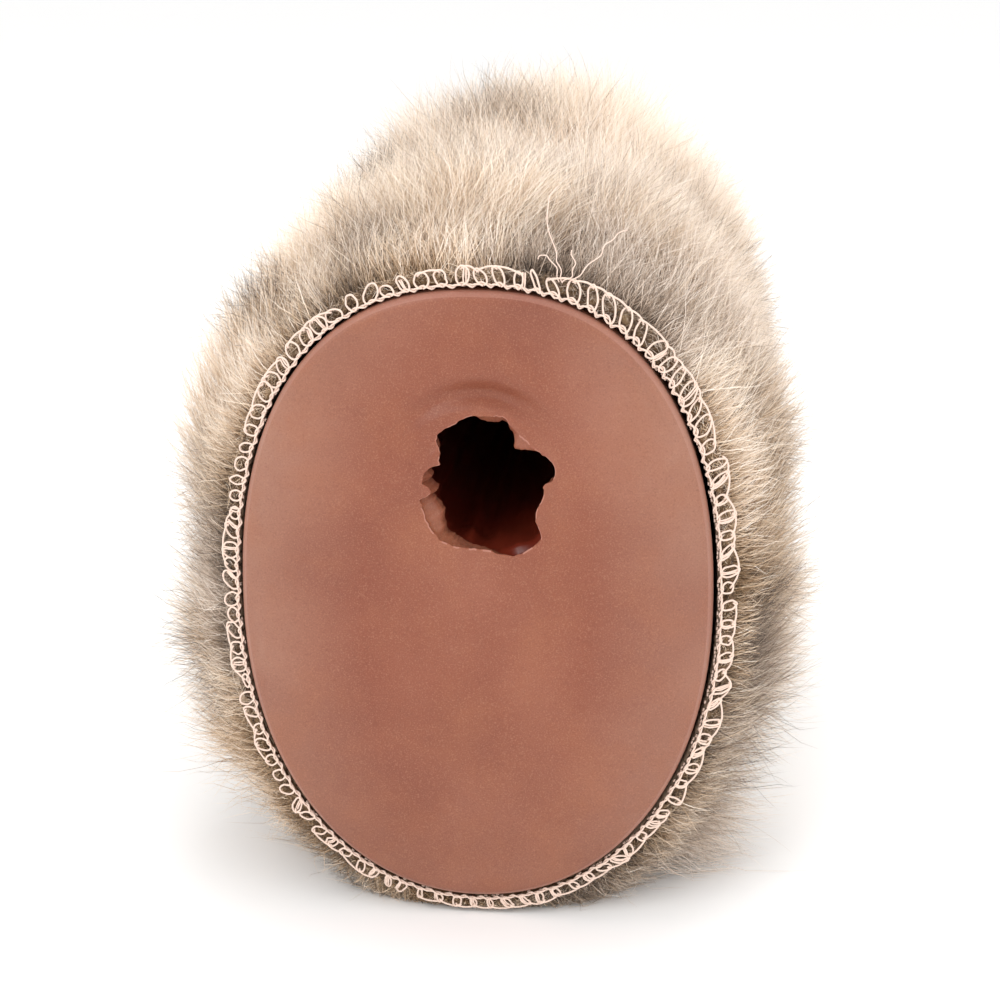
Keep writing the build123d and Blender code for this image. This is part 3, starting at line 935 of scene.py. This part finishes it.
def grow_pile(rng, v, phi, length, clump, steps, loose, curl):
    """Fibre centrelines: upright at the root, then laid rearward and upward, with locks and frizz."""
    count = len(v)
    root = hull_point(v, phi, OUTSIDE)
    normal, rear = hull_frame(v, phi, OUTSIDE)
    side = np.cross(normal, rear)
    off_seam = (((phi - math.radians(SEAM_ANGLE) + np.pi) % (2 * np.pi)) - np.pi) * 68
    parting = np.exp(-((off_seam / 6) ** 2)) * np.sign(off_seam) * np.clip(1.1 - v * 2.2, 0.1, 1)
    dome = np.clip(v - 1, 0, 1)
    at_rim = np.exp(-np.maximum(root[:, 1] - RIM_Y, 0) / 14)
    clump_tilt, clump_root, grip = clump
    tilt = clump_tilt + rng.normal(0, 1, (count, 2)) * np.array([0.21, 0.16]) * (1 + 1.5 * loose)[:, None]
    start = np.radians(13 + 8 * lay_back(root)) * (1 - 0.6 * dome) + 0.12 * at_rim + tilt[:, 1] * 0.6
    end = np.radians(54 + 13 * lay_back(root + 40)) * (1 - 0.75 * dome) + tilt[:, 1]
    sideways = 0.24 * lay_side(root) + 0.21 * lay_lock(root) + 0.5 * parting + 0.38 * side[:, 2] + tilt[:, 0]

    t = np.linspace(0, 1, steps)
    way = [root]
    for before, after in zip(t[:-1], t[1:]):
        m = (before + after) / 2
        angle = start + (end - start) * m
        upright, rearward = normal * np.cos(angle)[:, None], rear * np.sin(angle)[:, None]
        step = unit(upright + rearward + side * (sideways * (0.45 + 0.9 * m))[:, None])
        step[:, 2] -= 0.06 * m
        way.append(way[-1] + step * (length * (after - before))[:, None])
    way = np.stack(way, 1)
    way = way + ((clump_root - root) * (grip * (1 - loose))[:, None])[:, None] * (t**1.2)[None, :, None]

    frizz = (1 + 0.9 * at_rim)[:, None]
    for axis in (side, rear * 0.8 + normal * 0.3):
        for waves, share in ((0.9, 1.0), (2.1, 0.55)):
            turns = waves * rng.uniform(0.7, 1.35, (count, 1))
            phase = rng.uniform(0, 2 * np.pi, (count, 1))
            sway = np.sin(2 * np.pi * turns * t[None, :] + phase) - np.sin(phase) * (1 - t[None, :])
            size = curl * share * frizz * rng.uniform(0.5, 1.4, (count, 1)) * t[None, :] ** 0.8
            way = way + axis[:, None] * (sway * size)[..., None]
    return press_down(rng, way)


def press_down(rng, way):
    """Fibres flattened outward where the mitt lies on the floor, and kept inside the part's space."""
    floor = FLOOR_CLEARANCE + rng.uniform(0, 1, (len(way), 1)) ** 2 * 3.0
    under = np.maximum(floor - way[..., 2], 0)
    way[..., 2] = np.maximum(way[..., 2], floor)
    way[..., 0] += np.sign(way[..., 0]) * under * 0.42
    return np.clip(way, CAD_BOX[0] - MARGIN, CAD_BOX[1] + MARGIN)


def fibre_levels(rng, root, phi, shade, steps):
    """Material slot of each section of each fibre, from its hue and its lightness."""
    count = len(root)
    back = root[:, 1] - RIM_Y
    far = smooth(back, 60, 150)
    upper = smooth(np.sin(phi), 0.2, 0.8)
    # Painted light: the pile paler toward the rear, and most on its upper rear.
    light = 0.62 + 0.08 * tone_broad(root) + 0.08 * tone_fine(root) + shade + 0.08 * far + 0.13 * far * upper
    pale_side = smooth(np.cos(phi), 0.1, 0.6) * smooth(back, 25, 75)
    # Painted shade: the pile darker toward the underside, near the floor; pale_side makes it paler toward the
    # right and rear.
    light = light - 0.16 * smooth(-np.sin(phi), 0.35, 0.85) + 0.10 * pale_side
    for degrees, behind, wide, strength in DARK_PATCHES:
        away = (np.degrees(phi) - degrees + 180) % 360 - 180
        light = light - strength * np.exp(-((away / wide) ** 2) - ((back - behind) / (wide * 1.3)) ** 2)
    light = light + rng.normal(0, 0.15, count)
    hue_value = hue_broad(root) + 0.6 * pale_side + rng.normal(0, 0.45, count)
    hue = np.where(hue_value > 0.42, CREAM, np.where(hue_value < -0.45, GREY, BEIGE))
    m = (np.arange(steps - 1) + 0.5) / (steps - 1)
    # Darker at the root and paler at the tip: painted shade deep in the pile, and the fibres' own paler tips.
    ramp = (0.40 * (smooth(m, 0.0, 0.75) - 0.62) + 0.10 * smooth(m, 0.7, 1.0))[None, :]
    tufts = 0.75 - 0.45 * far * upper
    dark = (tip_broad(root) + rng.normal(0, 0.4, count)) > tufts * 1.35
    dark_tip = dark[:, None] * smooth(m, 0.5, 0.75)[None, :] * -0.42
    level = np.round((light[:, None] + ramp + dark_tip) * LEVELS - 0.4)
    level = np.clip(level, 0, LEVELS - 1).astype(int)
    return np.where((dark_tip < -0.2) & (level < 4), GREY, hue[:, None]) * LEVELS + level


def emit_pile(name, node, rng, lines, widths, levels, materials):
    """Fibre meshes for one node, in pieces of a size that exports whole."""
    steps = lines.shape[1]
    chunk = LARGEST_PIECE // (2 * steps - 3)
    for k, start in enumerate(range(0, len(lines), chunk)):
        part = slice(start, start + chunk)
        points, quads, tips = ribbons(rng, lines[part], widths[part])
        slots = np.concatenate([levels[part][:, :-1].ravel(), levels[part][:, -1]])
        obj = mesh_from(f"{name}_{k + 1:02d}", points, quads, tips, slots, materials)
        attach(obj, "sleeve")
        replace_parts(obj, node)


def lay_fibres(rng, node, kind, count, low, high, materials):
    """One kind of fibre over one panel, gathered in locks that lean and cling together."""
    steps, reach, width, curl, lighter = FIBRES[kind]
    clumps = count // FIBRES_PER_LOCK
    clump_v, clump_phi = scatter(rng, clumps, low, high)
    of = rng.integers(0, clumps, count)
    v = np.clip(clump_v[of] + rng.normal(0, 1.9, count) / (DOME_START - RIM_Y), low, high)
    phi = clump_phi[of] + rng.normal(0, 1.9, count) / 62
    root = hull_point(v, phi, OUTSIDE)
    clump_root = hull_point(clump_v, clump_phi, OUTSIDE)[of]
    tilt = (rng.normal(0, 1, (clumps, 2)) * np.array([0.17, 0.13]))[of]
    grip = rng.uniform(0.0, 0.75, clumps)[of]
    loose = (rng.random(count) < 0.18) * rng.uniform(0.3, 1.0, count)
    uneven = 1 + 0.07 * lay_back(root * 1.3 + 9)
    length = reach * pile_reach(root, phi) * uneven * rng.uniform(0.72, 1.1, count)
    if kind == "guard":
        length = length * np.where(rng.random(count) < 0.012, rng.uniform(1.1, 1.3, count), 1.0)
    way = grow_pile(rng, v, phi, length, (tilt, clump_root, grip), steps, loose, curl)
    taper = np.linspace(1.0, 0.0, steps) ** 0.55
    widths = (width * rng.uniform(0.7, 1.3, count))[:, None] * taper[None, :]
    shade = rng.normal(0, 0.06, clumps)[of] + lighter
    levels = fibre_levels(rng, root, phi, shade, steps)
    sector = np.digitize(phi % (2 * np.pi), np.linspace(0, 2 * np.pi, 9))
    order = np.argsort(sector * 10 + v)
    emit_pile(f"{node}_{kind}", node, rng, way[order], widths[order], levels[order], materials)


def build_pile(rim):
    """The pile of both panels, as single fibres: long guard hairs over a shorter, curlier down."""
    materials = []
    for hue, tones in TONES.items():
        for i, tone in enumerate(tones):
            materials.append(plain(f"fibre_{hue}_{i}", linear(*tone), 0.6, Specular_IOR_Level=0.25))
    rng = np.random.default_rng(71)
    for node, low, high, guards, downs in PANELS:
        lay_fibres(rng, node, "guard", guards, low, high, materials)
        lay_fibres(rng, node, "down", downs, low, high, materials)
    build_edge_fibres(rim, materials, rng)


def build_edge_fibres(rim, materials, rng):
    """Short fibres caught in the stitches, and the fringe that bends out from under them."""
    count, steps = EDGE_FIBRES, 6
    s = rng.uniform(0, rim.total, count)
    caught = rng.random(count) < 0.5
    upper, bottom = rim.share(s, *UPPER_RIGHT), rim.share(s, *BOTTOM)
    wide = 3.9 + 1.7 * upper - 0.5 * bottom
    out = np.where(caught, 1.1 + rng.random(count) * (wide - 1.2), wide * rng.uniform(0.85, 1.05, count))
    back = np.where(caught, rng.uniform(-0.2, 0.9, count), rng.uniform(0.8, 3.2, count))
    length = np.where(caught, rng.uniform(1.5, 4.5, count), rng.uniform(7, 17, count))
    slant = np.where(caught, rng.normal(0, 0.9, count), rng.normal(0, 0.35, count))
    t = np.linspace(0, 1, steps)
    rows = []
    for m in t:
        reach = length * m
        rows.append(rim.place(
            s + slant * reach * 0.7,
            out + reach * np.where(caught, 0.45, 0.80),
            back + np.where(caught, -0.35 * np.sin(np.pi * m), 0.52 * reach * m + 0.12 * reach),
        ))
    way = np.stack(rows, 1) + rng.normal(0, 0.25, (count, steps, 3)) * t[None, :, None]
    way[..., 2] = np.maximum(way[..., 2], 0.3)
    widths = (0.09 * rng.uniform(0.7, 1.2, count))[:, None] * np.linspace(1, 0, steps)[None, :] ** 0.6
    phi = np.interp(s, rim.length, rim.phi)
    # Painted shade: fibres caught in the stitches drawn darker, the fringe a little darker.
    levels = fibre_levels(rng, way[:, 0], phi, np.where(caught, -0.16, -0.04), steps)
    emit_pile("side_panel_pile_edge", "side_panel_pile", rng, way, widths, levels, materials)


# ---------------------------------------------------------------- stage

FLOOR_SIZE = 80
CAMERA_HEIGHT, CAMERA_DISTANCE, CAMERA_RIGHT = 0.232, 0.4123, 0.0434
CAMERA_TILT, CAMERA_TURN = 16.88, 5.2  # degrees down, and to the left

# Area lights: name, place, aim, size, power in watts
LIGHTS = (
    ("key", (-0.75, -1.15, 1.25), (0, -0.05, 0.09), 0.9, 9),
    ("fill", (1.1, -0.9, 0.9), (0, -0.05, 0.09), 1.0, 4),
    ("top", (0.1, 0.35, 1.5), (0, 0, 0.1), 1.0, 9),
)


def build_floor():
    """A pale floor, far wider than the view."""
    bpy.ops.mesh.primitive_plane_add(size=FLOOR_SIZE, location=(0, 30, 0))
    floor = bpy.context.object
    floor.name = "floor"
    floor.data.materials.append(plain("white_floor", (0.94, 0.935, 0.93, 1), 0.8, Specular_IOR_Level=0.1))


def build_lights():
    """White surroundings and three soft lights."""
    world = bpy.data.worlds.new("studio")
    bpy.context.scene.world = world
    world.use_nodes = True
    background = world.node_tree.nodes["Background"]
    background.inputs["Color"].default_value = (1, 1, 1, 1)
    background.inputs["Strength"].default_value = 1.06
    for name, spot, aim, size, power in LIGHTS:
        light = bpy.data.lights.new(name, "AREA")
        light.size = size
        light.energy = power
        lamp = bpy.data.objects.new(name, light)
        lamp.location = spot
        way = Vector(np.array(aim) - np.array(spot))
        lamp.rotation_euler = way.to_track_quat("-Z", "Y").to_euler()
        bpy.context.scene.collection.objects.link(lamp)


def build_camera():
    """The camera at the photograph's place, looking a little down on the face."""
    camera = bpy.data.objects.new("camera", bpy.data.cameras.new("camera"))
    camera.data.lens = 68.5
    camera.data.sensor_width = 36
    camera.data.clip_start = 0.01
    camera.location = (CAMERA_RIGHT, CORE_FRONT * MM - CAMERA_DISTANCE, CAMERA_HEIGHT)
    camera.rotation_euler = (math.radians(90 - CAMERA_TILT), 0, math.radians(CAMERA_TURN))
    bpy.context.scene.collection.objects.link(camera)
    bpy.context.scene.camera = camera
    bpy.context.scene.view_settings.view_transform = "Standard"


core = build_core()
rim, thread = build_rim()
side_backing, end_backing = build_backings()
build_edge_roll(rim)
build_seams(thread)
build_tails(rim, thread)
build_pile(rim)

build_floor()
build_lights()
build_camera()
